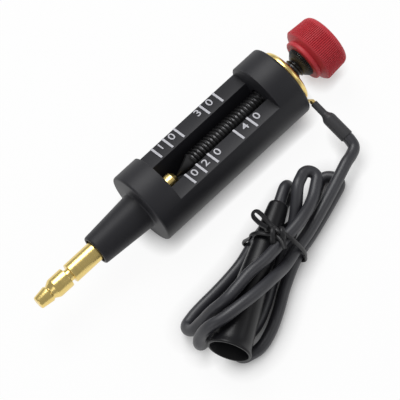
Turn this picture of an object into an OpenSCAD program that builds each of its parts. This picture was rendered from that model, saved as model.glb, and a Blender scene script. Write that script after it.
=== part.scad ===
// Adjustable spark plug tester with an earth lead, lying on a flat surface.
// The body's axis runs along X: the brass tip points to -X and the red knob to +X.
// The window faces up and leans a little to +Y.
// The origin is on the surface, under the middle of the rigid pieces.

/* [Body] */
// Diameter of the round body
body_d = 24; // [22.5:0.5:28]
// Length of the collar at each end of the body
collar_len = 8.9; // [7.5:0.1:11]
// Length of the window between the collars
window_len = 40; // [36:1:44]
// Height of the window's flat above the axis
flat_h = 3.9; // [3:0.1:5]
// Width of the pocket in the window
pocket_w = 10.5; // [9:0.1:12]
// Angle by which the window leans from upright
lean = 20; // [0:1:25]
// Depth of the pocket's floor below the axis
pocket_drop = 5.5; // [4.5:0.1:7]
// Length of the nose
nose_len = 18.2; // [15:0.1:22]
// Diameter of the nose at its outer end
nose_tip_d = 9.8; // [9.2:0.1:11]
// Diameter of the nose where it meets the body
nose_base_d = 12.3; // [11.5:0.1:16]

/* [Brass pin] */
// Diameter of the push-on tip's land
pin_d = 6.35; // [6.2:0.05:6.6]
// Length of the push-on tip's land
land_len = 5; // [4:0.1:6]
// Diameter of the tip's end face
tip_d = 4; // [3:0.1:4.8]
// Diameter of the neck behind the land
neck_d = 4; // [3:0.1:5]
// Length of the shank between the neck and the nose
shank_len = 9.9; // [8:0.1:14]
// Diameter of the pin inside the body
stem_d = 5.2; // [4.4:0.1:6]
// Length of the fixed electrode inside the pocket
electrode_len = 5.3; // [4:0.1:8]

/* [Screw] */
// Outer diameter of the screw's thread
screw_d = 6.35; // [5:0.05:6.5]
// Distance from one thread to the next
pitch = 1.27; // [0.8:0.01:1.5]
// Length of the screw from its point to its head's cone
screw_len = 49.2; // [48:0.1:51]
// Length of the screw's pointed end
point_len = 5.9; // [4:0.1:8]
// Diameter of the screw's head
head_d = 9.5; // [9:0.1:10.5]
// Height of the screw's head
head_h = 7.95; // [7:0.05:8.6]
// Gap between the point and the fixed electrode
spark_gap = 0.3; // [0.2:0.1:1]

/* [Knob] */
// Diameter of the knob's rim
knob_d = 18.3; // [17:0.1:22]
// Diameter of the knob's hub where the screw's head goes in
hub_d = 13.6; // [12.5:0.1:15]
// Length of the knob's rim
rim_len = 6.9; // [6:0.1:9]
// Diameter of the cap in the knob's outer end
cap_d = 11; // [9:0.1:12.5]
// Thickness of that cap
cap_t = 1.2; // [0.8:0.1:1.6]

/* [Bush and lug] */
// Diameter of the bush's flange
flange_d = 18.2; // [16.6:0.1:20]
// Thickness of the bush's flange
flange_t = 1.9; // [1.5:0.1:2.4]
// Diameter of the bush inside the collar
bush_d = 10; // [9:0.1:11]
// Length of the bush inside the collar
bush_len = 6.5; // [5:0.1:7]
// Diameter of the lug's ring
lug_d = 16.4; // [14:0.1:16.5]
// Thickness of the lug's sheet
lug_t = 0.7; // [0.5:0.05:0.9]
// Angle by which the lug's tongue droops
droop = 14; // [10:1:18]

/* [Lead] */
// Diameter of the lead
cord_d = 3.6; // [3.2:0.1:3.6]
// Diameter of the bare strands
strand_d = 1; // [0.7:0.1:1.1]
// Diameter of the lug's crimp barrel
barrel_d = 1.6; // [1.5:0.1:1.8]
// Wall of the shrink sleeve
sleeve_wall = 0.3; // [0.2:0.05:0.5]
// Direction of the hank, from the body's axis
hank_turn = 29; // [25:1:33]
// Diameter of the tie
tie_d = 1; // [0.7:0.1:1]

/* [Boot] */
// Length of the boot
boot_len = 48.5; // [48:0.5:49.5]
// Diameter of the boot's lip
lip_d = 13.2; // [12.6:0.1:13.2]
// Diameter of the boot behind its lip
boot_d = 12; // [11.6:0.1:12]
// Diameter of the boot's neck
boot_neck_d = 5.8; // [5.4:0.1:5.8]
// Diameter of the boot's mouth at its rim
mouth_d = 11.8; // [11:0.1:11.8]
// Diameter of the socket behind the mouth
socket_d = 9.2; // [8.6:0.1:9.4]
// Depth of that socket, from the rim
socket_len = 12; // [10:0.5:13]

/* [Hidden] */
$fn = 96;

// A cut runs this far past a face, and mating runs have this room between them.
past = 1;
run_gap = 0.05;
edge = 0.6;

// Places along the axis, counted from the end of the tip.
cone_len = 4.2;
groove_len = 0.6;
flare_len = 1.7;
neck_len = 1.4;
cone_rise = 1.2;
groove_rise = 0.4;
cone_d = tip_d + cone_rise;
groove_d = tip_d + groove_rise;
groove_x = cone_len + groove_len;
land_x = groove_x + flare_len;
shank_x = land_x + land_len + neck_len;
nose_x = shank_x + shank_len;
body_x = nose_x + nose_len;
window_x = body_x + collar_len;
rear_x = window_x + window_len;
end_x = rear_x + collar_len;
electrode_x = window_x + electrode_len;
point_x = electrode_x + spark_gap;
head_x = point_x + screw_len;
flange_x = end_x + lug_t;

// The pin's shank sits this deep in the nose, in a shallow recess.
seat_len = 6;
recess_len = 0.8;
recess_d = pin_d + 2 * recess_len;
electrode_edge = 1.2;

// The thread's depth, the room for it in the bush, and the head's cone and key socket.
depth_ratio = 0.54;
thread_depth = depth_ratio * pitch;
thread_flat = pitch / 8;
runout = pitch / 4;
thread_d = screw_d + 2 * run_gap;
passage_gap = 0.5;
passage_d = screw_d + 2 * passage_gap;
head_cone = 2.2;
key_w = 4.76;
key_len = 3;
threads = floor((screw_len - point_len - pitch) / pitch);

// The knob's places: its hub, the underside's cone, the rim and the crown.
hub_len = 2.3;
hub_step = 1.4;
crown_len = 1.6;
rim_draft = 0.4;
crown_in = 0.6;
crown_d = knob_d - 2 * (rim_draft + crown_len * crown_in);
crown_bulge = 0.35;
knob_x = head_x + head_cone;
rim_x = knob_x + hub_len;
crown_x = rim_x + rim_len;
knob_end_x = crown_x + crown_len;
cap_gap = 0.1;
key_way_d = 5.6;

// The flange's outer edge is domed.
dome_w = 2.8;
dome_drop = 0.2;

// The lug's tongue steps outwards past the flange and ends in the barrel.
tongue_w = 5;
tongue_end_w = 2.4;
step_out = 1.4;
step_gap = 0.3;
step_r = flange_d / 2 + step_gap;
step_len = 1.3;
tongue_tail = 0.7;
barrel_len = 6.3;
barrel_start = step_r + step_len;
tongue_end = barrel_start + tongue_tail;
barrel_end = barrel_start + barrel_len;
barrel_x = step_out + lug_t / 2;

// The sleeve is narrow on the barrel and wide on the lead.
sleeve_gap = 0.2;
sleeve_start = tongue_end + sleeve_gap;
sleeve_cone = 1.4;
grip_len = 7.2;
strip_r = barrel_end + sleeve_cone;
sleeve_end = strip_r + grip_len;

// The rigid pieces' box is centred on the origin.
length = knob_end_x;
axis_h = body_d / 2;
lug_reach = barrel_end * cos(droop) + barrel_d / 2 * sin(droop);
axis_y = (lug_reach - axis_h) / 2;

// The scale's bars: distances from the fixed electrode, and their size.
mark_at = [1.2, 5.7, 10.3, 20.7, 26.2];
mark_w = 0.7;
mark_t = 0.15;
mark_margin = 0.7;
mark_shift = 0.3;
flat_w = 2 * sqrt(pow(body_d / 2, 2) - pow(flat_h, 2));
strip_w = (flat_w - pocket_w) / 2;
mark_len = strip_w - mark_margin;

// The boot lies on the hank's lower runs, which lift its lip, and its neck dips a little.
lip_len = 2.4;
lip_rim = 0.6;
rim_edge = 0.2;
mouth_len = 6;
boot_tilt = 2.5;
boot_lift = 4.05;
mouth_v = -35.2;
mouth_h = boot_lift + lip_d / 2 * cos(boot_tilt) + lip_len * sin(boot_tilt);
terminal_d = 7.4;
terminal_len = 12;
terminal_wall = 2;
terminal_bore = 6.4;
terminal_wall_x = socket_len + terminal_len - terminal_wall;
spring_d = 0.6;
spring_in = 3;
spring_x = socket_len + spring_in;
cord_in = 16;
cord_stop = boot_len - cord_in / cos(boot_tilt);

// The hank's middle, from the middle of the body's axis.
hank_at = [0.5, -33.35];

// The hank's runs: across, along and up, from the tie. A fold joins each run to the next,
// and the last run goes down the boot's neck. The first run crosses the boot to a loop beside
// the mouth and comes back under it; the fourth does so farther out.
lead_in = 1.2 * cord_d;
boot_slope = tan(boot_tilt);
neck_v = mouth_v + boot_len * cos(boot_tilt);
function boot_h(v) = mouth_h - (v - mouth_v) * boot_slope;
runs = [
    [[14.2, 28.5, 6.1], [13.3, 22.5, 6.3], [12.2, 16, 6.6], [10.7, 8, 7.2], [8.5, 0, 7.7],
        [7.5, -5.5, 9.4], [6, -11.5, 13.5], [3.7, -17.7, 16.5], [0.6, -23.3, 18],
        [-3.2, -28.6, 17.9], [-6.6, -31.2, 16], [-9.2, -32.8, 11.4], [-10, -33.6, 7],
        [-9.8, -32.4, 3.4], [-9.4, -29, 2], [-8.6, -24, 1.95], [-6.4, -16, 1.95], [-3.1, -8, 2],
        [-0.5, 0.5, 3.1], [2.4, 7, 2.2], [5.8, 13, 1.95], [7.8, 19, 1.95], [8, 25.1, 2]],
    [[14, 25.1, 2], [12.4, 17, 1.95], [10.6, 9, 2], [8.7, 0.5, 3.1], [7.9, -9, 2],
        [8.2, -17, 1.95], [7.8, -24, 1.95], [6.4, -29, 1.95], [3.8, -32, 1.95]],
    [[0.2, -29.2, 1.95], [3.2, -23, 1.95], [4, -16, 1.95], [3.8, -8, 2], [4.3, 0.5, 3.2],
        [5.4, 5, 5.4], [5.6, 10, 7.6], [5, 15, 10], [4.2, 19.4, 11.2], [4.3, 23, 10.4]],
    [[8.6, 23, 8.8], [9.2, 16.4, 9.7], [8.4, 9, 12.1], [5.4, 0.5, 13.5], [2.8, -7.2, 15.7],
        [0, -12.7, 17], [-2.1, -17.9, 17.2], [-4.2, -22.2, 16.6], [-7.6, -25.2, 13.4],
        [-10.8, -28, 9], [-13.6, -29.8, 5.2], [-16, -28.4, 2.8], [-15.6, -25, 2],
        [-13.8, -20.8, 1.95], [-11.6, -16.5, 1.95], [-9, -11, 1.95], [-6.6, -5, 2.2],
        [-4.9, 1, 3.1], [-3, 8, 2.2], [-1, 13, 1.95], [0, 16.6, 2]],
    [[0, neck_v + lead_in, boot_h(neck_v + lead_in)], [0, neck_v, boot_h(neck_v)],
        [0, neck_v - cord_in, boot_h(neck_v - cord_in)]],
];

// The tie's way: a tail, once round the waist, then a bow that comes back to the knot.
tie_way = [[7.4, -2.6, 16], [5.8, -0.6, 16.2], [3.4, 0.8, 15.9], [0.8, 1, 14.6], [-2.2, 1, 13.6],
    [-4.4, 1, 11.2], [-5, 1, 8.6], [-6.4, 1, 6], [-7.6, 1, 3.7], [-7, 1, 1.6], [-4.9, 1, 0.65],
    [-1, 1, 0.65], [3, 1, 0.65], [7, 1, 0.65], [9.1, 1, 0.65], [11, 1, 1.7], [11.4, 1, 4],
    [11.5, 1, 7], [10.7, 1, 10], [8.8, 1.2, 13.8], [6.8, 1.6, 15.9], [4.2, 1.9, 17],
    [1.8, 3, 16.4], [-1, 5.4, 14.6], [-3.6, 7.4, 13], [-5.4, 8, 12], [-5.6, 6.6, 12.2],
    [-3.8, 4.8, 13.4], [-1.2, 3, 15.4], [1, 1.8, 17]];

// A route's pull at its stations, and its rings.
run_pull = 0.36;
fold_pull = 0.667;
run_rings = 3;
fold_rings = 8;
tie_rings = 2;
check_rings = 8;
hank_sides = 6;
cable_sides = 8;

function unit(a) = a / norm(a);

// The stations of all runs in one row: place, heading and number of the run.
function stations(list) = [for (k = [0:len(list) - 1]) let (p = list[k], last = len(p) - 1)
    for (i = [0:last]) [p[i], unit(p[min(i + 1, last)] - p[max(i - 1, 0)]), k]];

// A smooth way from one station to the next.
function between(a, b, t) = let (pull = (a[2] == b[2] ? run_pull : fold_pull) * norm(b[0] - a[0]),
    c = a[0] + a[1] * pull, d = b[0] - b[1] * pull)
    pow(1 - t, 3) * a[0] + 3 * t * pow(1 - t, 2) * c + 3 * t * t * (1 - t) * d + pow(t, 3) * b[0];

function route(list, run_n, fold_n) = let (s = stations(list)) concat(
    [for (i = [0:len(s) - 2]) let (n = s[i][2] == s[i + 1][2] ? run_n : fold_n)
        for (j = [0:n - 1]) between(s[i], s[i + 1], j / n)],
    [s[len(s) - 1][0]]);

// Across, along and up in the hank become places in the part's frame.
function placed(p) = [hank_at[0] + p[1] * cos(hank_turn) + p[0] * sin(hank_turn),
    hank_at[1] + axis_y + p[1] * sin(hank_turn) - p[0] * cos(hank_turn), p[2]];

// A place in the lug's frame: out along the tongue, and along the axis from the lug's plate.
function lug_place(out, x) = [end_x - length / 2 + x, axis_y - out * cos(droop),
    axis_h - out * sin(droop)];

// The free stretch: out of the sleeve, down on the first loops and square into the hank.
hank_way = [for (p = route(runs, run_rings, fold_rings)) placed(p)];
hank_in = unit(placed(runs[0][1]) - placed(runs[0][0]));
straight_out = 1.2;
sleeve_bend = 3.6;
bend_in = 0.7;
cable_bend = [15.3, 35.1, 5.2];
cable_way = route([[lug_place(strip_r, barrel_x), lug_place(sleeve_end, barrel_x),
    lug_place(sleeve_end + straight_out, barrel_x),
    lug_place(sleeve_end + sleeve_bend, barrel_x - bend_in), placed(cable_bend),
    hank_way[0] - hank_in * cord_d, hank_way[0]]], run_rings, fold_rings);

// The least room between two parts of a tube that are a few diameters apart along it.
apart = 2.5;
function lengths(p) = [for (i = 0, s = 0; i < len(p); s = s + (i + 1 < len(p) ?
    norm(p[i + 1] - p[i]) : 0), i = i + 1) s];
function least_gap(p, d) = let (s = lengths(p)) min([for (i = [0:len(p) - 1])
    for (j = [i + 1:1:len(p) - 1]) if (s[j] - s[i] > apart * d) norm(p[j] - p[i])]) - d;
function full_length(p) = lengths(p)[len(p) - 1];

// Rings square to the way, carried along it without a twist.
function heading(p, i) = unit(p[min(i + 1, len(p) - 1)] - p[max(i - 1, 0)]);
function upright(n, t) = unit(n - t * (n * t));
first_side = [0.3, 0.4, 0.8];
function sides(p) = [for (i = 0, n = upright(first_side, heading(p, 0)); i < len(p);
    i = i + 1, n = upright(n, heading(p, min(i, len(p) - 1)))) n];
function rings(p, r, n) = let (a = sides(p)) [for (i = [0:len(p) - 1])
    let (t = heading(p, i), b = cross(t, a[i]))
    for (k = [0:n - 1]) p[i] + r * (cos(360 * k / n) * a[i] + sin(360 * k / n) * b)];
function skin(m, n) = concat(
    [for (k = [1:n - 2]) [0, k + 1, k]],
    [for (i = [0:m - 2]) for (k = [0:n - 1]) let (a = i * n + k, b = i * n + (k + 1) % n)
        each [[a, b, b + n], [a, b + n, a + n]]],
    [for (k = [1:n - 2]) [(m - 1) * n, (m - 1) * n + k, (m - 1) * n + k + 1]]);

module tube(way, d, n) {
    polyhedron(points = rings(way, d / 2, n), faces = skin(len(way), n), convexity = 10);
}

// A solid of revolution about the body's axis, from pairs of radius and place.
module turned(outline) {
    translate([-length / 2, axis_y, axis_h]) rotate([0, 90, 0]) rotate_extrude() polygon(outline);
}

// A block square to the window: its middle across, its width, and its heights from the axis.
module block(from_x, to_x, mid, w, low, high) {
    translate([from_x - length / 2, axis_y, axis_h]) rotate([-lean, 0, 0])
        translate([0, mid - w / 2, low]) cube([to_x - from_x, w, high - low]);
}

module in_lug() {
    translate([end_x - length / 2, axis_y, axis_h]) rotate([droop, 0, 0]) children();
}

// A solid of revolution about the tongue's line, from pairs of radius and distance out.
module on_tongue(outline) {
    in_lug() translate([barrel_x, 0, 0]) rotate([90, 0, 0]) rotate_extrude() polygon(outline);
}

// A solid of revolution about the boot's axis, from pairs of radius and distance from the mouth.
module on_boot(outline) {
    translate(placed([0, mouth_v, mouth_h])) rotate([0, 90 + boot_tilt, hank_turn])
        rotate_extrude() polygon(outline);
}

module housing() {
    r = body_d / 2;
    color("#1b1b1d") difference() {
        turned([[0, nose_x], [nose_tip_d / 2 - edge, nose_x], [nose_tip_d / 2, nose_x + edge],
            [nose_base_d / 2, body_x], [r - edge, body_x], [r, body_x + edge], [r, end_x - edge],
            [r - edge, end_x], [0, end_x]]);
        turned([[0, nose_x - past], [recess_d / 2, nose_x - past],
            [recess_d / 2, nose_x + recess_len],
            [pin_d / 2, nose_x + recess_len], [pin_d / 2, nose_x + seat_len],
            [stem_d / 2, nose_x + seat_len], [stem_d / 2, window_x + past], [0, window_x + past]]);
        turned([[0, rear_x - past], [passage_d / 2, rear_x - past],
            [passage_d / 2, end_x - bush_len],
            [bush_d / 2, end_x - bush_len], [bush_d / 2, end_x + past], [0, end_x + past]]);
        block(window_x, rear_x, 0, body_d + 2 * past, flat_h, r + past);
        block(window_x, rear_x, 0, pocket_w, -pocket_drop, flat_h + past);
    }
}

module terminal_pin() {
    color("#b8923f") turned([[0, 0], [tip_d / 2, 0], [cone_d / 2, cone_len],
        [groove_d / 2, groove_x],
        [pin_d / 2, land_x], [pin_d / 2, land_x + land_len], [neck_d / 2, land_x + land_len],
        [neck_d / 2, shank_x], [pin_d / 2, shank_x], [pin_d / 2, nose_x + seat_len],
        [stem_d / 2, nose_x + seat_len], [stem_d / 2, electrode_x - electrode_edge],
        [stem_d / 2 - electrode_edge, electrode_x], [0, electrode_x]]);
}

module scale_marks() {
    color("#f2f2ee") for (at = mark_at, side = [-1, 1])
        block(electrode_x + at - mark_w / 2, electrode_x + at + mark_w / 2,
            side * (pocket_w + strip_w) / 2 + mark_shift, mark_len, flat_h, flat_h + mark_t);
}

module threaded_bush() {
    r = flange_d / 2;
    face = flange_x + flange_t;
    color("#c9a24c") turned([[thread_d / 2, end_x - bush_len], [bush_d / 2, end_x - bush_len],
        [bush_d / 2, flange_x], [r, flange_x], [r, flange_x + flange_t / 2],
        [r - flange_t / 2, face - dome_drop], [r - dome_w, face], [thread_d / 2, face]]);
}

module earth_lug() {
    color("#c2a052") in_lug() {
        rotate([90, 0, 90]) linear_extrude(lug_t) difference() {
            union() {
                circle(d = lug_d);
                translate([-step_r, -tongue_w / 2]) square([step_r, tongue_w]);
            }
            circle(d = bush_d);
        }
        translate([0, 0, -tongue_end_w / 2]) linear_extrude(tongue_end_w) polygon([
            [0, -step_r + lug_t], [lug_t, -step_r + lug_t], [lug_t, -step_r],
            [step_out + lug_t, -step_r - step_len], [step_out + lug_t, -tongue_end],
            [step_out, -tongue_end], [step_out, -step_r - step_len], [0, -step_r]]);
    }
    color("#c2a052") on_tongue([[strand_d / 2, barrel_start], [barrel_d / 2, barrel_start],
        [barrel_d / 2, barrel_end], [strand_d / 2, barrel_end]]);
}

module adjusting_screw() {
    r = screw_d / 2;
    root = r - thread_depth;
    thread_x = point_x + point_len;
    color("#26262a") difference() {
        turned(concat(
            [[0, point_x], [root, thread_x]],
            [for (i = [0:threads - 1]) let (x = thread_x + i * pitch) each [[root, x + thread_flat],
                [r, x + pitch / 2 - thread_flat / 2], [r, x + pitch / 2 + thread_flat / 2],
                [root, x + pitch - thread_flat]]],
            [[root, head_x - runout], [r, head_x], [head_d / 2, head_x + head_cone],
                [head_d / 2, head_x + head_h], [0, head_x + head_h]]));
        translate([head_x + head_h - key_len - length / 2, axis_y, axis_h]) rotate([0, 90, 0])
            cylinder(d = key_w / cos(30), h = key_len + past, $fn = 6);
    }
}

module red_knob() {
    r = knob_d / 2;
    crown_mid = (r - rim_draft + crown_d / 2) / 2 + crown_bulge;
    cap_seat = knob_end_x - cap_t - cap_gap;
    color("#d0102e") turned([[head_d / 2, knob_x], [hub_d / 2 - edge, knob_x],
        [hub_d / 2, knob_x + edge], [hub_d / 2, knob_x + hub_step], [r - edge, rim_x],
        [r, rim_x + edge], [r - rim_draft, crown_x], [crown_mid, crown_x + crown_len / 2],
        [crown_d / 2, knob_end_x], [cap_d / 2, knob_end_x], [cap_d / 2, cap_seat],
        [key_way_d / 2, cap_seat], [key_way_d / 2, head_x + head_h],
        [head_d / 2, head_x + head_h]]);
}

module knob_end_cap() {
    r = cap_d / 2 - run_gap;
    color("#c20f2b") turned([[0, knob_end_x - cap_t], [r, knob_end_x - cap_t], [r, knob_end_x],
        [0, knob_end_x]]);
}

module lead_conductor() {
    color("#b87345") on_tongue([[0, tongue_end], [strand_d / 2, tongue_end],
        [strand_d / 2, strip_r], [0, strip_r]]);
}

module shrink_sleeve() {
    narrow = barrel_d / 2;
    wide = cord_d / 2;
    color("#2a2a2d") on_tongue([[narrow, sleeve_start], [narrow + sleeve_wall, sleeve_start],
        [narrow + sleeve_wall, barrel_end - sleeve_cone / 2],
        [wide + sleeve_wall, barrel_end + sleeve_cone / 2], [wide + sleeve_wall, sleeve_end],
        [wide, sleeve_end], [wide, strip_r], [narrow, barrel_end]]);
}

module lead_cable() {
    color("#1f1f21") tube(cable_way, cord_d, cable_sides);
}

module lead_hank() {
    color("#1f1f21") tube(hank_way, cord_d, hank_sides);
}

module hank_tie() {
    color("#151516") tube([for (p = route([tie_way], tie_rings, fold_rings)) placed(p)], tie_d, hank_sides);
}

module plug_boot() {
    color("#242427") on_boot([[socket_d / 2, mouth_len], [mouth_d / 2, 0], [lip_d / 2 - rim_edge, 0],
        [lip_d / 2, rim_edge], [lip_d / 2, lip_rim], [boot_d / 2, lip_len], [boot_neck_d / 2, boot_len],
        [cord_d / 2, boot_len], [cord_d / 2, socket_len + terminal_len],
        [terminal_d / 2, socket_len + terminal_len], [terminal_d / 2, socket_len],
        [socket_d / 2, socket_len]]);
}

module boot_terminal() {
    r = terminal_bore / 2;
    groove = spring_d / 2 + run_gap;
    color("#b9babd") on_boot([[r, socket_len], [terminal_d / 2, socket_len],
        [terminal_d / 2, socket_len + terminal_len], [strand_d / 2, socket_len + terminal_len],
        [strand_d / 2, terminal_wall_x], [r, terminal_wall_x], [r, spring_x + groove],
        [r + groove, spring_x + groove], [r + groove, spring_x - groove], [r, spring_x - groove]]);
}

module terminal_spring() {
    color("#8f9094") translate(placed([0, mouth_v, mouth_h])) rotate([0, 90 + boot_tilt, hank_turn])
        translate([0, 0, spring_x]) rotate_extrude()
        translate([terminal_bore / 2, 0]) circle(d = spring_d);
}

module boot_conductor() {
    color("#b87345") on_boot([[0, terminal_wall_x], [strand_d / 2, terminal_wall_x],
        [strand_d / 2, cord_stop], [0, cord_stop]]);
}

echo(hank_gap = least_gap(route(runs, check_rings, check_rings), cord_d),
    tie_gap = least_gap(route([tie_way], check_rings, check_rings), tie_d),
    lead_length = full_length(cable_way) + full_length(hank_way));

housing();
terminal_pin();
scale_marks();
threaded_bush();
earth_lug();
adjusting_screw();
red_knob();
knob_end_cap();
lead_conductor();
shrink_sleeve();
lead_cable();
lead_hank();
hank_tie();
plug_boot();
boot_terminal();
terminal_spring();
boot_conductor();
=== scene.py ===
import math
import bmesh
import bpy
from mathutils import Matrix, Vector


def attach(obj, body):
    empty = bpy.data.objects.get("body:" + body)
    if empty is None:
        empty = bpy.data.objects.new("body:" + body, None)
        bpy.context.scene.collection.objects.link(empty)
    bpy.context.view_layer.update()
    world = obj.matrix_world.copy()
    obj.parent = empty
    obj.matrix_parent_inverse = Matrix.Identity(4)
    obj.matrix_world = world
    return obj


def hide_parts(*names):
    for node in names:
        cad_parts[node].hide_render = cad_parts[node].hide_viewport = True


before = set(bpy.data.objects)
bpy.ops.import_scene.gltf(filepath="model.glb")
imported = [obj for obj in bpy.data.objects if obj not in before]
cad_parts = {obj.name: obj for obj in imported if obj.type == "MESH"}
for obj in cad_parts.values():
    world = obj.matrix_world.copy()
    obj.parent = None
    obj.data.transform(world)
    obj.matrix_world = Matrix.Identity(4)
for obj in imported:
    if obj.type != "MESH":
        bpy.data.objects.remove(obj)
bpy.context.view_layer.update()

# View: the tester lies on a plain white sheet and is looked down on from its tip's end,
# so that its axis rises to the right. A long lens keeps its sides nearly parallel.
MM = 0.001
TO_CAMERA = Vector((-0.20, -0.37, 0.907)).normalized()
AXIS_RISE = math.radians(42.65)
DISTANCE = 0.9
SENSOR = 36
PX_PER_M = 3458
PICTURE_PX = 400
TARGET = Vector((-5.26, -10.93, 18.79)) * MM

def placed(name, data):
    thing = bpy.data.objects.new(name, data)
    bpy.context.collection.objects.link(thing)
    return thing

along = (Vector((1, 0, 0)) - TO_CAMERA * TO_CAMERA.x).normalized()
across = TO_CAMERA.cross(along)
right = along * math.cos(AXIS_RISE) - across * math.sin(AXIS_RISE)
up = along * math.sin(AXIS_RISE) + across * math.cos(AXIS_RISE)
facing = Matrix((right, up, TO_CAMERA)).transposed().to_4x4()
lens = bpy.data.cameras.new("camera")
lens.sensor_width = SENSOR
lens.lens = PX_PER_M * DISTANCE * SENSOR / PICTURE_PX
camera = placed("camera", lens)
camera.matrix_world = Matrix.Translation(TARGET + TO_CAMERA * DISTANCE) @ facing
scene = bpy.context.scene
scene.camera = camera
scene.view_settings.view_transform = "Standard"

# Sheet: matte white paper, seen and mirrored as white. It darkens close to the tester, so
# that the shadow stays where the pieces touch it.
FLOOR_HALF = 1.5
FLOOR_H = -0.0003
PAPER = (0.86, 0.86, 0.86, 1)
WHITE = (1, 1, 1, 1)
WHITE_SHARE = 0.94
CONTACT_REACH = 0.006
CONTACT_POWER = 2

def linked(tree, *links):
    for giver, output, taker, into in links:
        tree.links.new(giver.outputs[output], taker.inputs[into])

sheet = bpy.data.meshes.new("floor")
sheet.from_pydata([(-FLOOR_HALF, -FLOOR_HALF, FLOOR_H), (FLOOR_HALF, -FLOOR_HALF, FLOOR_H),
                   (FLOOR_HALF, FLOOR_HALF, FLOOR_H), (-FLOOR_HALF, FLOOR_HALF, FLOOR_H)],
                  [], [(0, 1, 2, 3)])
paper = bpy.data.materials.new("paper")
paper.use_nodes = True
tree = paper.node_tree
tree.nodes.clear()
matte = tree.nodes.new("ShaderNodeBsdfDiffuse")
matte.inputs["Color"].default_value = PAPER
lit = tree.nodes.new("ShaderNodeEmission")
lit.inputs["Color"].default_value = WHITE
ray = tree.nodes.new("ShaderNodeLightPath")
seen, mirrored, share, open_share, contact = (tree.nodes.new("ShaderNodeMath") for _ in range(5))
seen.operation, mirrored.operation, share.operation = "MAXIMUM", "MAXIMUM", "MULTIPLY"
open_share.operation, contact.operation = "MULTIPLY", "POWER"
share.inputs[1].default_value = WHITE_SHARE
contact.inputs[1].default_value = CONTACT_POWER
near = tree.nodes.new("ShaderNodeAmbientOcclusion")
near.inputs["Distance"].default_value = CONTACT_REACH
mixed = tree.nodes.new("ShaderNodeMixShader")
shown = tree.nodes.new("ShaderNodeOutputMaterial")
linked(tree, (ray, "Is Camera Ray", seen, 0), (ray, "Is Glossy Ray", seen, 1),
       (seen, 0, mirrored, 0), (ray, "Is Transmission Ray", mirrored, 1),
       (mirrored, 0, share, 0), (share, 0, open_share, 0),
       (near, "AO", contact, 0), (contact, 0, open_share, 1),
       (open_share, 0, mixed, 0), (matte, 0, mixed, 1), (lit, 0, mixed, 2), (mixed, 0, shown, 0))
sheet.materials.append(paper)
floor = placed("floor", sheet)

# Light: an even pale room, one broad lamp over the far side and two weak ones that keep the
# near sides of the black pieces from going flat.
SKY = 0.38

world = bpy.data.worlds.new("studio")
world.use_nodes = True
sky = world.node_tree.nodes["Background"]
sky.inputs["Color"].default_value = WHITE
sky.inputs["Strength"].default_value = SKY
scene.world = world

def lamp(name, place, size, watts):
    light = bpy.data.lights.new(name, "AREA")
    light.shape = "RECTANGLE"
    light.size, light.size_y = size
    light.energy = watts
    holder = placed(name, light)
    holder.location = place
    holder.rotation_euler = (-Vector(place)).to_track_quat("-Z", "Y").to_euler()

lamp("key", (0.18, 0.44, 0.76), (0.5, 0.55), 5)
lamp("side", (0.5, -0.5, 0.5), (0.4, 0.3), 0.6)
lamp("front", (-0.7, -0.1, 0.4), (0.3, 0.3), 0.6)

# Earth lead: a soft black insulated lead, folded to and fro into a hank as it was packed.
# It comes out of the shrink sleeve, lies down on the loops and ends in the boot's neck.
CORD_R = 1.8
CORD_SIDES = 20
CORD_UP = (0.3, 0.4, 0.8)
AXIS_Y = 2.3442824
AXIS_H = 12
LENGTH = 117.7
TAIL_X = 98.8
END_X = TAIL_X - LENGTH / 2
HANK_TURN = math.radians(29)
HANK_AT = (0.5, -33.35)
DROOP = math.radians(14)
BOOT_TILT = math.radians(2.5)
BOOT_LEN = 48.5
LIP_R = 6.6
LIP_LEN = 2.4
BOOT_LIFT = 4.05
MOUTH_V = -35.2
MOUTH_H = BOOT_LIFT + LIP_R * math.cos(BOOT_TILT) + LIP_LEN * math.sin(BOOT_TILT)
NECK_V = MOUTH_V + BOOT_LEN * math.cos(BOOT_TILT)
CORD_IN = 16
LEAD_IN = 2.4 * CORD_R
BARREL_X = 1.75
STRIP_R = 18.4
SLEEVE_END = 25.6
STRAIGHT = 1.2
BEND_OUT, BEND_SIDE = 3.6, 0.7
DOWN_AT = (15.3, 35.1, 5.2)
RUN_STEPS, FOLD_STEPS = 8, 18
RUN_PULL, FOLD_PULL = 0.36, 0.667

def in_hank(across_hank, along_hank, height):
    c, s = math.cos(HANK_TURN), math.sin(HANK_TURN)
    return Vector((HANK_AT[0] + along_hank * c + across_hank * s,
                   HANK_AT[1] + AXIS_Y + along_hank * s - across_hank * c, height)) * MM

def in_boot(v):
    return 0, v, MOUTH_H - (v - MOUTH_V) * math.tan(BOOT_TILT)

def on_lug(reach, x):
    return Vector((END_X + x, AXIS_Y - reach * math.cos(DROOP),
                   AXIS_H - reach * math.sin(DROOP))) * MM

def heading_at(way, i):
    return (way[min(i + 1, len(way) - 1)] - way[max(i - 1, 0)]).normalized()

# A way runs straight on through the stations of each run and folds over from run to run.
def route(runs, run_steps, fold_steps):
    stations = [(place, heading_at(run, i), k) for k, run in enumerate(runs)
                for i, place in enumerate(run)]
    way = []
    for (a, leaving, run), (b, arriving, next_run) in zip(stations, stations[1:]):
        same = run == next_run
        pull = (RUN_PULL if same else FOLD_PULL) * (b - a).length
        c, d = a + leaving * pull, b - arriving * pull
        steps = run_steps if same else fold_steps
        for j in range(steps):
            t = j / steps
            s = 1 - t
            way.append(s ** 3 * a + 3 * t * s ** 2 * c + 3 * t * t * s * d + t ** 3 * b)
    return way + [stations[-1][0]]

def new_piece(name, mesh, material, smooth=30):
    mesh.materials.clear()
    mesh.materials.append(material)
    mesh.shade_smooth()
    mesh.set_sharp_from_angle(angle=math.radians(smooth))
    return placed(name, mesh)

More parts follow.
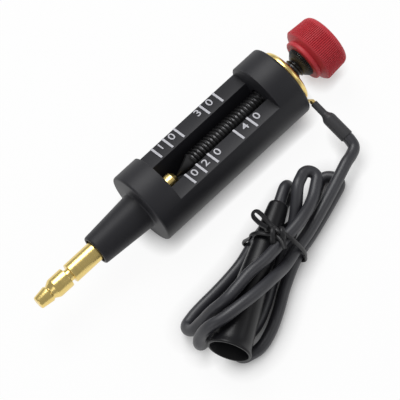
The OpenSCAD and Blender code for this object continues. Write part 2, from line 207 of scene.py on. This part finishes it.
def outward(bm, name):
    bmesh.ops.recalc_face_normals(bm, faces=bm.faces)
    mesh = bpy.data.meshes.new(name)
    bm.to_mesh(mesh)
    bm.free()
    return mesh

def angles(sides):
    return [2 * math.pi * k / sides for k in range(sides)]

def tube(name, way, wide, thick, sides, first):
    bm = bmesh.new()
    rings = []
    side = Vector(first)
    for i, place in enumerate(way):
        heading = heading_at(way, i)
        side = (side - heading * side.dot(heading)).normalized()
        other = heading.cross(side)
        rings.append([bm.verts.new(place + side * wide * math.cos(a) + other * thick * math.sin(a))
                      for a in angles(sides)])
    for a, b in zip(rings, rings[1:]):
        for k in range(sides):
            bm.faces.new((a[k], a[(k + 1) % sides], b[(k + 1) % sides], b[k]))
    bm.faces.new(rings[0])
    bm.faces.new(rings[-1])
    return outward(bm, name)

# Each moulded, turned or drawn surface has a slow change of tone, patches of more and less
# gloss, and a fine relief. Its coordinates can be drawn out, as along a turned rod.
PATCH_DETAIL, GRAIN_DETAIL = 4, 2
RELIEF_DEPTH = 0.05 * MM

def surface_group():
    group = bpy.data.node_groups.new("surface", "ShaderNodeTree")
    for name, kind, value in (
            ("Colour", "NodeSocketColor", (0.5, 0.5, 0.5, 1)), ("Tone", "NodeSocketFloat", 0.2),
            ("Roughness", "NodeSocketFloat", 0.4), ("Spread", "NodeSocketFloat", 0.1),
            ("Patch", "NodeSocketFloat", 120), ("Grain", "NodeSocketFloat", 2500),
            ("Relief", "NodeSocketFloat", 0.1), ("Stretch", "NodeSocketVector", (1, 1, 1))):
        group.interface.new_socket(name, in_out="INPUT", socket_type=kind).default_value = value
    for name, kind in (("Colour", "NodeSocketColor"), ("Roughness", "NodeSocketFloat"),
                       ("Normal", "NodeSocketVector")):
        group.interface.new_socket(name, in_out="OUTPUT", socket_type=kind)
    add = group.nodes.new
    given, result = add("NodeGroupInput"), add("NodeGroupOutput")
    place, drawn = add("ShaderNodeTexCoord"), add("ShaderNodeVectorMath")
    drawn.operation = "MULTIPLY"
    patch, grain = add("ShaderNodeTexNoise"), add("ShaderNodeTexNoise")
    patch.inputs["Detail"].default_value = PATCH_DETAIL
    grain.inputs["Detail"].default_value = GRAIN_DETAIL
    centred, toned, brighter, spread, rough = (add("ShaderNodeMath") for _ in range(5))
    centred.operation, toned.operation, brighter.operation = "SUBTRACT", "MULTIPLY", "ADD"
    spread.operation, rough.operation = "MULTIPLY", "ADD"
    centred.inputs[1].default_value = 0.5
    brighter.inputs[1].default_value = 1
    shade = add("ShaderNodeVectorMath")
    shade.operation = "SCALE"
    bump = add("ShaderNodeBump")
    bump.inputs["Distance"].default_value = RELIEF_DEPTH
    linked(group, (place, "Object", drawn, 0), (given, "Stretch", drawn, 1),
           (drawn, 0, patch, "Vector"), (drawn, 0, grain, "Vector"),
           (given, "Patch", patch, "Scale"), (given, "Grain", grain, "Scale"),
           (patch, 0, centred, 0), (centred, 0, toned, 0), (given, "Tone", toned, 1),
           (toned, 0, brighter, 0), (given, "Colour", shade, 0), (brighter, 0, shade, "Scale"),
           (shade, 0, result, "Colour"), (centred, 0, spread, 0), (given, "Spread", spread, 1),
           (spread, 0, rough, 0), (given, "Roughness", rough, 1), (rough, 0, result, "Roughness"),
           (grain, 0, bump, "Height"), (given, "Relief", bump, "Strength"),
           (bump, 0, result, "Normal"))
    return group

surface = surface_group()

def finish_of(name, colour, metallic=0, specular=0.5, **settings):
    material = bpy.data.materials.new(name)
    material.use_nodes = True
    tree = material.node_tree
    shader = tree.nodes["Principled BSDF"]
    shader.inputs["Metallic"].default_value = metallic
    shader.inputs["Specular IOR Level"].default_value = specular
    group = tree.nodes.new("ShaderNodeGroup")
    group.node_tree = surface
    group.inputs["Colour"].default_value = (*colour, 1)
    for key, value in settings.items():
        group.inputs[key.capitalize()].default_value = value
    linked(tree, (group, "Colour", shader, "Base Color"),
           (group, "Roughness", shader, "Roughness"), (group, "Normal", shader, "Normal"))
    return material

runs = [[in_hank(*p) for p in run] for run in (
    ((14.2, 28.5, 6.1), (13.3, 22.5, 6.3), (12.2, 16, 6.6), (10.7, 8, 7.2), (8.5, 0, 7.7),
     (7.5, -5.5, 9.4), (6, -11.5, 13.5), (3.7, -17.7, 16.5), (0.6, -23.3, 18), (-3.2, -28.6, 17.9),
     (-6.6, -31.2, 16), (-9.2, -32.8, 11.4), (-10, -33.6, 7), (-9.8, -32.4, 3.4), (-9.4, -29, 2),
     (-8.6, -24, 1.95), (-6.4, -16, 1.95), (-3.1, -8, 2), (-0.5, 0.5, 3.1), (2.4, 7, 2.2),
     (5.8, 13, 1.95), (7.8, 19, 1.95), (8, 25.1, 2)),
    ((14, 25.1, 2), (12.4, 17, 1.95), (10.6, 9, 2), (8.7, 0.5, 3.1), (7.9, -9, 2),
     (8.2, -17, 1.95), (7.8, -24, 1.95), (6.4, -29, 1.95), (3.8, -32, 1.95)),
    ((0.2, -29.2, 1.95), (3.2, -23, 1.95), (4, -16, 1.95), (3.8, -8, 2), (4.3, 0.5, 3.2),
     (5.4, 5, 5.4), (5.6, 10, 7.6), (5, 15, 10), (4.2, 19.4, 11.2), (4.3, 23, 10.4)),
    ((8.6, 23, 8.8), (9.2, 16.4, 9.7), (8.4, 9, 12.1), (5.4, 0.5, 13.5), (2.8, -7.2, 15.7),
     (0, -12.7, 17), (-2.1, -17.9, 17.2), (-4.2, -22.2, 16.6), (-7.6, -25.2, 13.4), (-10.8, -28, 9),
     (-13.6, -29.8, 5.2), (-16, -28.4, 2.8), (-15.6, -25, 2), (-13.8, -20.8, 1.95),
     (-11.6, -16.5, 1.95), (-9, -11, 1.95), (-6.6, -5, 2.2), (-4.9, 1, 3.1), (-3, 8, 2.2),
     (-1, 13, 1.95), (0, 16.6, 2)),
    (in_boot(NECK_V + LEAD_IN), in_boot(NECK_V), in_boot(NECK_V - CORD_IN)))]
hank_way = route(runs, RUN_STEPS, FOLD_STEPS)
into_hank = (runs[0][1] - runs[0][0]).normalized()
cable_way = route([[on_lug(STRIP_R, BARREL_X), on_lug(SLEEVE_END, BARREL_X),
                    on_lug(SLEEVE_END + STRAIGHT, BARREL_X),
                    on_lug(SLEEVE_END + BEND_OUT, BARREL_X - BEND_SIDE), in_hank(*DOWN_AT),
                    hank_way[0] - into_hank * 2 * CORD_R * MM, hank_way[0]]],
                  RUN_STEPS, FOLD_STEPS)
lead_way = cable_way[:-1] + hank_way
lead_black = finish_of("lead_black", (0.028, 0.0285, 0.0345), specular=0.6, roughness=0.44,
                       spread=0.14, tone=0.5, patch=90, grain=1600, relief=0.12)
lead_mesh = tube("earth_lead", lead_way, CORD_R * MM, CORD_R * MM, CORD_SIDES, CORD_UP)
lead = new_piece("earth_lead", lead_mesh, lead_black)
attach(lead, "tester")
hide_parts("lead_cable", "lead_hank")

# Tie: a length of soft, flat black plastic strand. It goes round the hank's waist and the
# boot's neck and is made off in a knotted bow, with one short tail.
TIE_W, TIE_T = 0.75, 0.45
TIE_SIDES = 14
TIE_STEPS = 6

tie_way = ((7.4, -2.6, 16), (5.8, -0.6, 16.2), (3.4, 0.8, 15.9), (0.8, 1, 14.6), (-2.2, 1, 13.6),
           (-4.4, 1, 11.2), (-5, 1, 8.6), (-6.4, 1, 6), (-7.6, 1, 3.7), (-7, 1, 1.6),
           (-4.9, 1, 0.65), (-1, 1, 0.65), (3, 1, 0.65), (7, 1, 0.65), (9.1, 1, 0.65),
           (11, 1, 1.7), (11.4, 1, 4), (11.5, 1, 7), (10.7, 1, 10), (8.8, 1.2, 13.8),
           (6.8, 1.6, 15.9), (4.2, 1.9, 17), (1.8, 3, 16.4), (-1, 5.4, 14.6), (-3.6, 7.4, 13),
           (-5.4, 8, 12), (-5.6, 6.6, 12.2), (-3.8, 4.8, 13.4), (-1.2, 3, 15.4), (1, 1.8, 17))
knot_way = ((2.2, 2.9, 15.6), (2.4, 2.4, 17.1), (2.8, 1, 17.8), (3.2, -0.5, 17.3),
            (3.5, -1.6, 16.2), (3.6, -1.9, 15.2))
end_way = ((4.6, 3.3, 16), (5, 2.9, 17.2), (5.5, 1.9, 17.8), (6, 0.8, 17.3), (6.3, 0.1, 16.2))
tie_black = finish_of("tie_black", (0.012, 0.012, 0.0135), specular=0.4, roughness=0.42,
                      spread=0.12, tone=0.4, patch=300, grain=2400, relief=0.15)
strand = bmesh.new()
for way, flat_to in ((tie_way, (0, 1, 0)), (knot_way, (1, 0, 0)), (end_way, (1, 0, 0))):
    strand_way = route([[in_hank(*p) for p in way]], TIE_STEPS, TIE_STEPS)
    strand.from_mesh(tube("strand", strand_way, TIE_W * MM, TIE_T * MM, TIE_SIDES,
                          in_hank(*flat_to) - in_hank(0, 0, 0)))
tie = new_piece("hank_tie_strand", outward(strand, "hank_tie_strand"), tie_black)
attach(tie, "tester")
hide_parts("hank_tie")

# Plug boot: a black rubber boot moulded in one, a long taper from the thin flared rim of its
# mouth to the neck that grips the lead. A sprung metal contact sits at the socket's bottom.
BOOT_SIDES = 72
SOCKET_R, SOCKET_X = 4.6, 12
CONTACT_R, CONTACT_X = 3.7, 24
MOUTH_R, MOUTH_LEN = 5.9, 6
GRIP_R = 1.82
EDGE_SHARE = 0.49
ON_AXIS = 1e-6

# An outline gives radius, distance along the axis and how far each corner is softened.
def softened(outline, steps=5):
    done = []
    for i, (r, x, soft) in enumerate(outline):
        here = Vector((r, x))
        if not soft:
            done.append((r, x))
            continue
        before = Vector(outline[i - 1][:2]) - here
        after = Vector(outline[(i + 1) % len(outline)][:2]) - here
        a = here + before.normalized() * min(soft, EDGE_SHARE * before.length)
        b = here + after.normalized() * min(soft, EDGE_SHARE * after.length)
        for j in range(steps + 1):
            t = j / steps
            done.append(tuple((1 - t) ** 2 * a + 2 * t * (1 - t) * here + t * t * b))
    return done

def turned(name, outline, sides, origin, heading, closed=False):
    start = Vector((0, 0, 1))
    one = (start - heading * start.dot(heading)).normalized()
    two = heading.cross(one)
    bm = bmesh.new()
    rings = []
    for r, x in outline:
        middle = origin + heading * x * MM
        if r < ON_AXIS:
            rings.append([bm.verts.new(middle)])
        else:
            rings.append([bm.verts.new(middle + (one * math.cos(a) + two * math.sin(a)) * r * MM)
                          for a in angles(sides)])
    for a, b in zip(rings, rings[1:] + rings[:1] if closed else rings[1:]):
        for k in range(sides):
            m = (k + 1) % sides
            if len(a) == 1:
                bm.faces.new((a[0], b[m], b[k]))
            elif len(b) == 1:
                bm.faces.new((a[k], a[m], b[0]))
            else:
                bm.faces.new((a[k], a[m], b[m], b[k]))
    return outward(bm, name)

boot_mouth = in_hank(*in_boot(MOUTH_V))
boot_line = (in_hank(*in_boot(NECK_V)) - boot_mouth).normalized()
boot_outline = softened([
    (SOCKET_R, MOUTH_LEN, 0.6), (MOUTH_R, 0, 0.15), (6.4, 0, 0.15), (LIP_R, 0.25, 0.15),
    (LIP_R, 0.6, 0.3), (6, LIP_LEN, 0.9), (3.3, 44.2, 0), (2.95, 47.9, 0.4), (2.6, BOOT_LEN, 0.3),
    (GRIP_R, BOOT_LEN, 0.1), (GRIP_R, CONTACT_X, 0), (CONTACT_R, CONTACT_X, 0),
    (CONTACT_R, SOCKET_X, 0), (SOCKET_R, SOCKET_X, 0)])
rubber = finish_of("boot_rubber", (0.007, 0.0071, 0.0085), specular=0.28, roughness=0.36,
                   spread=0.16, tone=0.5, patch=70, grain=2200, relief=0.14)
boot_mesh = turned("boot_rubber", boot_outline, BOOT_SIDES, boot_mouth, boot_line, True)
boot = new_piece("boot_rubber", boot_mesh, rubber)
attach(boot, "tester")
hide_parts("plug_boot")
steel = finish_of("spring_steel", (0.55, 0.55, 0.56), metallic=1, roughness=0.3,
                  spread=0.15, tone=0.2, patch=200, grain=1800, relief=0.1)
copper = finish_of("copper_strands", (0.6, 0.28, 0.16), metallic=1, roughness=0.32,
                   spread=0.2, tone=0.4, patch=600, grain=4000, relief=0.4)

def carried(node, material):
    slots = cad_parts[node].data.materials
    slots.clear()
    slots.append(material)

carried("boot_terminal", steel)
carried("terminal_spring", steel)
carried("boot_conductor", copper)

# Body: a round bar moulded in satin black plastic, with a long tapered nose. Its window is
# cut to a flat between two collars, and a pocket in the flat shows the spark.
AXIS = Vector((-LENGTH / 2, AXIS_Y, AXIS_H)) * MM
ALONG = Vector((1, 0, 0))
BODY_SIDES, BORE_SIDES = 144, 96
BODY_R = 12
NOSE_X, BODY_X, WINDOW_X, REAR_X = 22.8, 41, 49.9, 89.9
NOSE_R, NOSE_BASE_R = 4.9, 6.15
RECESS_R, RECESS = 3.975, 0.8
PIN_R, STEM_R, SEAT_X = 3.175, 2.6, 28.8
STEM_HOLE_X = WINDOW_X + 4
SCREW_HOLE_R, BUSH_R, BUSH_X = 3.675, 5, 92.3
BORE_FROM_X, BORE_TO_X = 84, 104
FLAT_H = 3.9
CLEAR = 14
POCKET_W = 10.5
POCKET_DROP = 5.5
LEAN = math.radians(20)
EDGE = 0.3
EDGE_STEPS = 3
EDGE_ANGLE = math.radians(40)

def at_window(x, u, h):
    return AXIS + Vector((x, u * math.cos(LEAN) + h * math.sin(LEAN),
                          h * math.cos(LEAN) - u * math.sin(LEAN))) * MM

def cutter(x0, x1, u0, u1, h0, h1):
    bm = bmesh.new()
    corner = {(i, j, k): bm.verts.new(at_window(x, u, h)) for i, x in enumerate((x0, x1))
              for j, u in enumerate((u0, u1)) for k, h in enumerate((h0, h1))}
    for way in range(3):
        for end in range(2):
            bm.faces.new([corner[pair[:way] + (end,) + pair[way:]]
                          for pair in ((0, 0), (1, 0), (1, 1), (0, 1))])
    return placed("cutter", outward(bm, "cutter"))

def baked(holder):
    bpy.context.view_layer.update()
    graph = bpy.context.evaluated_depsgraph_get()
    mesh = bpy.data.meshes.new_from_object(holder.evaluated_get(graph))
    for used in [holder] + [m.object for m in holder.modifiers if m.type == "BOOLEAN"]:
        bpy.data.objects.remove(used)
    return mesh

body_outline = softened([
    (0, TAIL_X, 0), (BODY_R, TAIL_X, 0.9), (BODY_R, BODY_X, 0.8), (NOSE_BASE_R, BODY_X, 0.7),
    (NOSE_R, NOSE_X, 0.7), (RECESS_R, NOSE_X, 0.2), (RECESS_R, NOSE_X + RECESS, 0),
    (PIN_R, NOSE_X + RECESS, 0), (PIN_R, SEAT_X, 0), (STEM_R, SEAT_X, 0),
    (STEM_R, STEM_HOLE_X, 0), (0, STEM_HOLE_X, 0)])
bore_outline = [(0, BORE_FROM_X), (SCREW_HOLE_R, BORE_FROM_X), (SCREW_HOLE_R, BUSH_X),
                (BUSH_R, BUSH_X), (BUSH_R, BORE_TO_X), (0, BORE_TO_X)]
body = placed("body", turned("body", body_outline, BODY_SIDES, AXIS, ALONG))
bore = placed("bore", turned("bore", bore_outline, BORE_SIDES, AXIS, ALONG))
window = cutter(WINDOW_X, REAR_X, -CLEAR, CLEAR, FLAT_H, CLEAR)
pocket = cutter(WINDOW_X, REAR_X, -POCKET_W / 2, POCKET_W / 2, -POCKET_DROP, FLAT_H + 1)
for tool in (window, pocket, bore):
    cut = body.modifiers.new("cut", "BOOLEAN")
    cut.operation = "DIFFERENCE"
    cut.solver = "EXACT"
    cut.object = tool
edge = body.modifiers.new("edge", "BEVEL")
edge.width = EDGE * MM
edge.segments = EDGE_STEPS
edge.limit_method = "ANGLE"
edge.angle_limit = EDGE_ANGLE
edge.use_clamp_overlap = True
plastic = finish_of("body_plastic", (0.015, 0.015, 0.0185), specular=0.34, roughness=0.5,
                    spread=0.12, tone=0.5, patch=60, grain=3000, relief=0.16)
housing = new_piece("body_shell", baked(body), plastic, 35)
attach(housing, "tester")
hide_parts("housing")

# Scale: white bars and plain numbers printed on the flats on both sides of the pocket.
# The ink stands a little proud of the plastic.
DIGIT = 4
BOLD = 0.02
INK = 0.06
LOW_ROW, HIGH_ROW = -7.5, 9.3

white_ink = finish_of("white_ink", (0.53, 0.53, 0.57), roughness=0.5,
                      spread=0.2, tone=0.15, patch=900, grain=5000, relief=0.2)
carried("scale_marks", white_ink)
numbers = bmesh.new()
for digit, x, u in (("0", 58.6, LOW_ROW), ("2", 63, LOW_ROW), ("0", 67.8, LOW_ROW),
                    ("4", 79, LOW_ROW), ("0", 83.7, LOW_ROW), ("1", 58.7, HIGH_ROW),
                    ("0", 63.2, HIGH_ROW), ("3", 73.8, HIGH_ROW), ("0", 78.5, HIGH_ROW)):
    letter = bpy.data.curves.new("digit", "FONT")
    letter.body = digit
    letter.align_x = "CENTER"
    letter.align_y = "CENTER"
    letter.size = DIGIT
    letter.offset = BOLD
    letter.extrude = INK
    flat = baked(placed("digit", letter))
    for v in flat.vertices:
        v.co = at_window(x + v.co.x, u + v.co.y, FLAT_H + INK + v.co.z)
    numbers.from_mesh(flat)
digits = new_piece("scale_numbers", outward(numbers, "scale_numbers"), white_ink)
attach(digits, "tester")

# Brass pin: one turned brass rod. Its tip is shaped like a plug's terminal, its shank is
# pressed into the nose and its chamfered end is the fixed electrode in the pocket.
PIN_SIDES = 64
GROOVE_R, GROOVE_X, GROOVE_END_X = 2, 11.5, 12.9
ELECTRODE_X = 55.2

brass = finish_of("turned_brass", (0.85, 0.65, 0.24), metallic=1, roughness=0.27, spread=0.16,
                  tone=0.2, patch=160, grain=900, relief=0.08, stretch=(4, 0.4, 0.4))
pin_outline = softened([
    (0, 0, 0), (2, 0, 0.5), (2.6, 4.2, 0.1), (2.2, 4.8, 0.1), (PIN_R, 6.5, 0.4),
    (PIN_R, GROOVE_X, 0.25), (GROOVE_R, GROOVE_X, 0.1), (GROOVE_R, GROOVE_END_X, 0.1),
    (PIN_R, GROOVE_END_X, 0.25), (PIN_R, SEAT_X, 0), (STEM_R, SEAT_X, 0),
    (STEM_R, 54, 0.15), (1.4, ELECTRODE_X, 0.2), (0, ELECTRODE_X, 0)])
pin = new_piece("brass_pin", turned("brass_pin", pin_outline, PIN_SIDES, AXIS, ALONG), brass)
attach(pin, "tester")
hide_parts("terminal_pin")

# Bush: a turned brass bush in the rear collar, with a domed flange that holds the lug's ring
# against the body. The screw runs in its bore.
BUSH_SIDES = 96
BUSH_HOLE_R = 3.225
FLANGE_R, FLANGE_X, FLANGE_TOP_X = 9.1, 99.5, 101.4

bush_outline = softened([
    (BUSH_HOLE_R, BUSH_X, 0.1), (BUSH_R, BUSH_X, 0.2), (BUSH_R, FLANGE_X, 0),
    (FLANGE_R, FLANGE_X, 0.1), (FLANGE_R, 100.5, 0.5), (8.1, 101.25, 0.8),
    (6.3, FLANGE_TOP_X, 0), (3.6, FLANGE_TOP_X, 0.1), (BUSH_HOLE_R, 101, 0.1)])
bush_mesh = turned("brass_bush", bush_outline, BUSH_SIDES, AXIS, ALONG, True)
bush = new_piece("brass_bush", bush_mesh, brass)
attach(bush, "tester")
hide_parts("threaded_bush")

# Lug: stamped brass sheet, a ring behind the flange with a stepped tongue, and a crimp
# barrel that holds the lead's bare strands.
lug_brass = finish_of("lug_brass", (0.84, 0.64, 0.25), metallic=1, roughness=0.3,
                      spread=0.2, tone=0.25, patch=300, grain=1500, relief=0.12)
carried("earth_lug", lug_brass)
carried("lead_conductor", copper)

# Sleeve: a length of dark grey shrink tube over the lug's crimp and the end of the lead.
# Heat has drawn it in on the barrel, and it lies smooth on the lead.
SLEEVE_SIDES = 48
SLEEVE_X = 11.6
CRIMP_R, SLEEVE_R = 0.82, 2.1
TONGUE = Vector((0, -math.cos(DROOP), -math.sin(DROOP)))

sleeve_outline = softened([
    (CRIMP_R, SLEEVE_X, 0), (1.08, SLEEVE_X, 0.1), (1.1, 16.2, 0.6), (SLEEVE_R, 17.8, 0.6),
    (SLEEVE_R, SLEEVE_END, 0.12), (GRIP_R, SLEEVE_END, 0), (GRIP_R, STRIP_R, 0),
    (CRIMP_R, 17, 0)])
sleeve_grey = finish_of("sleeve_grey", (0.042, 0.042, 0.045), specular=0.35, roughness=0.5,
                        spread=0.15, tone=0.4, patch=200, grain=2400, relief=0.15)
sleeve_mesh = turned("sleeve_tube", sleeve_outline, SLEEVE_SIDES, on_lug(0, BARREL_X), TONGUE, True)
sleeve = new_piece("sleeve_tube", sleeve_mesh, sleeve_grey)
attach(sleeve, "tester")
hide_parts("shrink_sleeve")

# Screw: a black steel screw with a ground point, a right-hand thread and a knurled head on
# a long cone. The head is pressed into the knob's hub.
PITCH = 1.27
POINT_X, THREAD_X, HEAD_X, KNOB_X, HEAD_END_X = 55.5, 61.4, 104.7, 106.9, 112.6
SCREW_R, HEAD_R = 3.175, 4.74
THREAD_DEPTH, KNURL_DEPTH = 0.62, 0.42
RUN_IN = 0.5
ROWS_PER_PITCH = 12
SHANK_SIDES, HEAD_SIDES = 72, 336
KNURLS = 42.0
KNURL_ROWS, KNURL_STEP = 8, 0.1

# Ridges run round or along a turned piece: each point moves in towards the axis by a share
# of the depth that follows its angle and its place along the axis.
def ridges_tree():
    tree = bpy.data.node_groups.new("ridges", "GeometryNodeTree")
    for name, kind in (
            ("Geometry", "NodeSocketGeometry"), ("Material", "NodeSocketMaterial"),
            ("Axis", "NodeSocketVector"), ("Per Turn", "NodeSocketFloat"),
            ("Per Length", "NodeSocketFloat"), ("Depth", "NodeSocketFloat"),
            ("Top", "NodeSocketFloat"), ("Root", "NodeSocketFloat"),
            ("Start", "NodeSocketFloat"), ("End", "NodeSocketFloat"), ("Fade", "NodeSocketFloat")):
        tree.interface.new_socket(name, in_out="INPUT", socket_type=kind)
    tree.interface.new_socket("Geometry", in_out="OUTPUT", socket_type="NodeSocketGeometry")
    add = tree.nodes.new
    given, result = add("NodeGroupInput"), add("NodeGroupOutput")
    size = given.outputs

    def math_node(operation, a, b=None):
        node = add("ShaderNodeMath")
        node.operation = operation
        for k, value in enumerate((a, b)):
            if isinstance(value, (int, float)):
                node.inputs[k].default_value = value
            elif value is not None:
                tree.links.new(value, node.inputs[k])
        return node.outputs[0]

    def ramp(a, b):
        way_in = math_node("DIVIDE", math_node("SUBTRACT", a, b), size["Fade"])
        return math_node("MINIMUM", math_node("MAXIMUM", way_in, 0), 1)

    place, parts, radial = (add("GeometryNodeInputPosition"), add("ShaderNodeSeparateXYZ"),
                            add("ShaderNodeCombineXYZ"))
    local, unit, sized = (add("ShaderNodeVectorMath") for _ in range(3))
    local.operation, unit.operation, sized.operation = "SUBTRACT", "NORMALIZE", "SCALE"
    linked(tree, (place, 0, local, 0), (given, "Axis", local, 1), (local, 0, parts, 0),
           (parts, 1, radial, 1), (parts, 2, radial, 2), (radial, 0, unit, 0), (unit, 0, sized, 0))
    x, y, z = parts.outputs
    turn = math_node("DIVIDE", math_node("ARCTAN2", z, y), 2 * math.pi)
    phase = math_node("SUBTRACT", math_node("MULTIPLY", x, size["Per Length"]),
                      math_node("MULTIPLY", turn, size["Per Turn"]))
    middle = math_node("SUBTRACT", math_node("FRACT", phase), 0.5)
    wave = math_node("MULTIPLY", math_node("ABSOLUTE", middle), 2)
    crest = add("ShaderNodeMapRange")
    linked(tree, (given, "Top", crest, "From Min"), (given, "Root", crest, "From Max"))
    tree.links.new(wave, crest.inputs["Value"])
    inside = math_node("MULTIPLY", ramp(x, size["Start"]), ramp(size["End"], x))
    cut = math_node("MULTIPLY", math_node("MULTIPLY", crest.outputs[0], inside),
                    math_node("MULTIPLY", size["Depth"], -1))
    tree.links.new(cut, sized.inputs["Scale"])
    moved, realized, painted = (add("GeometryNodeSetPosition"), add("GeometryNodeRealizeInstances"),
                                add("GeometryNodeSetMaterial"))
    linked(tree, (given, "Geometry", moved, "Geometry"), (sized, 0, moved, "Offset"),
           (moved, 0, realized, 0), (realized, 0, painted, 0),
           (given, "Material", painted, "Material"), (painted, 0, result, 0))
    return tree

ridges = ridges_tree()

def ridged(mesh, material, **values):
    holder = placed("ridged", mesh)
    modifier = holder.modifiers.new("ridges", "NODES")
    modifier.node_group = ridges
    keys = {item.name: item.identifier for item in ridges.interface.items_tree
            if item.in_out == "INPUT"}
    modifier[keys["Material"]] = material
    modifier[keys["Axis"]] = AXIS
    for name, value in values.items():
        modifier[keys[name.replace("_", " ").title()]] = value
    return baked(holder)

black_steel = finish_of("black_steel", (0.06, 0.06, 0.062), metallic=0.9, roughness=0.36,
                        spread=0.2, tone=0.5, patch=260, grain=2600, relief=0.15)
thread_from = THREAD_X + RUN_IN
rows = int((HEAD_X - THREAD_X) / PITCH * ROWS_PER_PITCH)
shank_outline = [(0, POINT_X), (0.25, POINT_X + 0.15), (SCREW_R - THREAD_DEPTH, THREAD_X - 0.35),
                 (SCREW_R - 0.45, THREAD_X)]
shank_outline += [(SCREW_R, thread_from + (HEAD_X - thread_from) * i / rows)
                  for i in range(rows + 1)]
shank_outline += [(SCREW_R - 0.3, HEAD_X + 0.3), (0, HEAD_X + 0.3)]
shank = ridged(turned("shank", shank_outline, SHANK_SIDES, AXIS, ALONG), black_steel,
               per_turn=1.0, per_length=1 / (PITCH * MM), depth=THREAD_DEPTH * MM,
               top=0.1, root=0.65, start=thread_from * MM, end=HEAD_X * MM, fade=RUN_IN * MM)
head_outline = softened([
    (0, HEAD_X - 0.2, 0), (SCREW_R - 0.25, HEAD_X - 0.2, 0.1), (3.3, HEAD_X, 0.2),
    (4.55, KNOB_X - 0.9, 0.25), (HEAD_R, KNOB_X - 0.7, 0.1)])
head_outline += [(HEAD_R, KNOB_X - 0.6 + KNURL_STEP * i) for i in range(KNURL_ROWS)]
head_outline += [(HEAD_R, HEAD_END_X), (0, HEAD_END_X)]
head = ridged(turned("head", head_outline, HEAD_SIDES, AXIS, ALONG), black_steel,
              per_turn=KNURLS, per_length=0.0, depth=KNURL_DEPTH * MM, top=0.4, root=0.62,
              start=(KNOB_X - 1.3) * MM, end=(KNOB_X + 0.1) * MM, fade=0.4 * MM)
joined = bmesh.new()
joined.from_mesh(shank)
joined.from_mesh(head)
screw = new_piece("steel_screw", outward(joined, "steel_screw"), black_steel, 40)
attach(screw, "screw")
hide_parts("adjusting_screw")

# Knob: moulded red plastic with fine flutes round its rim, a domed outer edge and a stepped
# hub on its underside.
KNOB_SIDES = 720
KNOB_R, KNOB_TAPER = 9.15, 0.4
HUB_R, HUB_HOLE_R = 6.8, 4.75
RIM_X, CROWN_X = 109.2, 116.1
RIM_EDGE = 0.6
CAP_SEAT_R, CAP_SEAT = 5.5, 1.3
KEY_HOLE_R, HUB_FLOOR_X = 2.8, 112.65
FLUTES = 90.0
FLUTE_DEPTH = 0.36
FLUTE_ROWS = 14

red = finish_of("knob_red", (0.52, 0.032, 0.045), specular=0.4, roughness=0.5,
                spread=0.12, tone=0.2, patch=150, grain=2600, relief=0.08)
knob_under = [(HUB_HOLE_R, KNOB_X + 0.6, 0), (HUB_HOLE_R, KNOB_X, 0.1), (HUB_R, KNOB_X, 0.7),
              (HUB_R, KNOB_X + 1.3, 0.1), (6.5, KNOB_X + 1.5, 0.1), (6.9, KNOB_X + 1.7, 0.1),
              (8.55, RIM_X, 0.2)]
knob_rim = [(KNOB_R - KNOB_TAPER * i / FLUTE_ROWS,
             RIM_X + RIM_EDGE + (CROWN_X - RIM_X - RIM_EDGE) * i / FLUTE_ROWS, 0)
            for i in range(FLUTE_ROWS + 1)]
knob_end = [(8.35, CROWN_X + 1.1, 0.7), (7.4, LENGTH, 0.6), (CAP_SEAT_R, LENGTH, 0.15),
            (CAP_SEAT_R, LENGTH - CAP_SEAT, 0), (KEY_HOLE_R, LENGTH - CAP_SEAT, 0),
            (KEY_HOLE_R, HUB_FLOOR_X, 0), (HUB_HOLE_R, HUB_FLOOR_X, 0)]
knob_outline = softened(knob_under + knob_rim + knob_end)
knob_mesh = ridged(turned("knob", knob_outline, KNOB_SIDES, AXIS, ALONG, True), red,
                   per_turn=FLUTES, per_length=0.0, depth=FLUTE_DEPTH * MM, top=0.42, root=0.62,
                   start=(RIM_X + 0.3) * MM, end=(CROWN_X + 0.3) * MM, fade=0.5 * MM)
knob = new_piece("fluted_knob", knob_mesh, red, 40)
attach(knob, "screw")
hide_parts("red_knob")

# End cap: a plain round disc of the knob's red plastic, let into a seat in its outer end.
# It covers the screw's key socket.
CAP_SIDES = 72
CAP_R, CAP_T = 5.42, 1.2

cap_outline = softened([(0, LENGTH - CAP_T, 0), (CAP_R, LENGTH - CAP_T, 0.1),
                        (CAP_R, LENGTH - 0.1, 0.25), (0, LENGTH, 0)])
cap = new_piece("knob_disc", turned("knob_disc", cap_outline, CAP_SIDES, AXIS, ALONG), red)
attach(cap, "feed")
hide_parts("knob_end_cap")
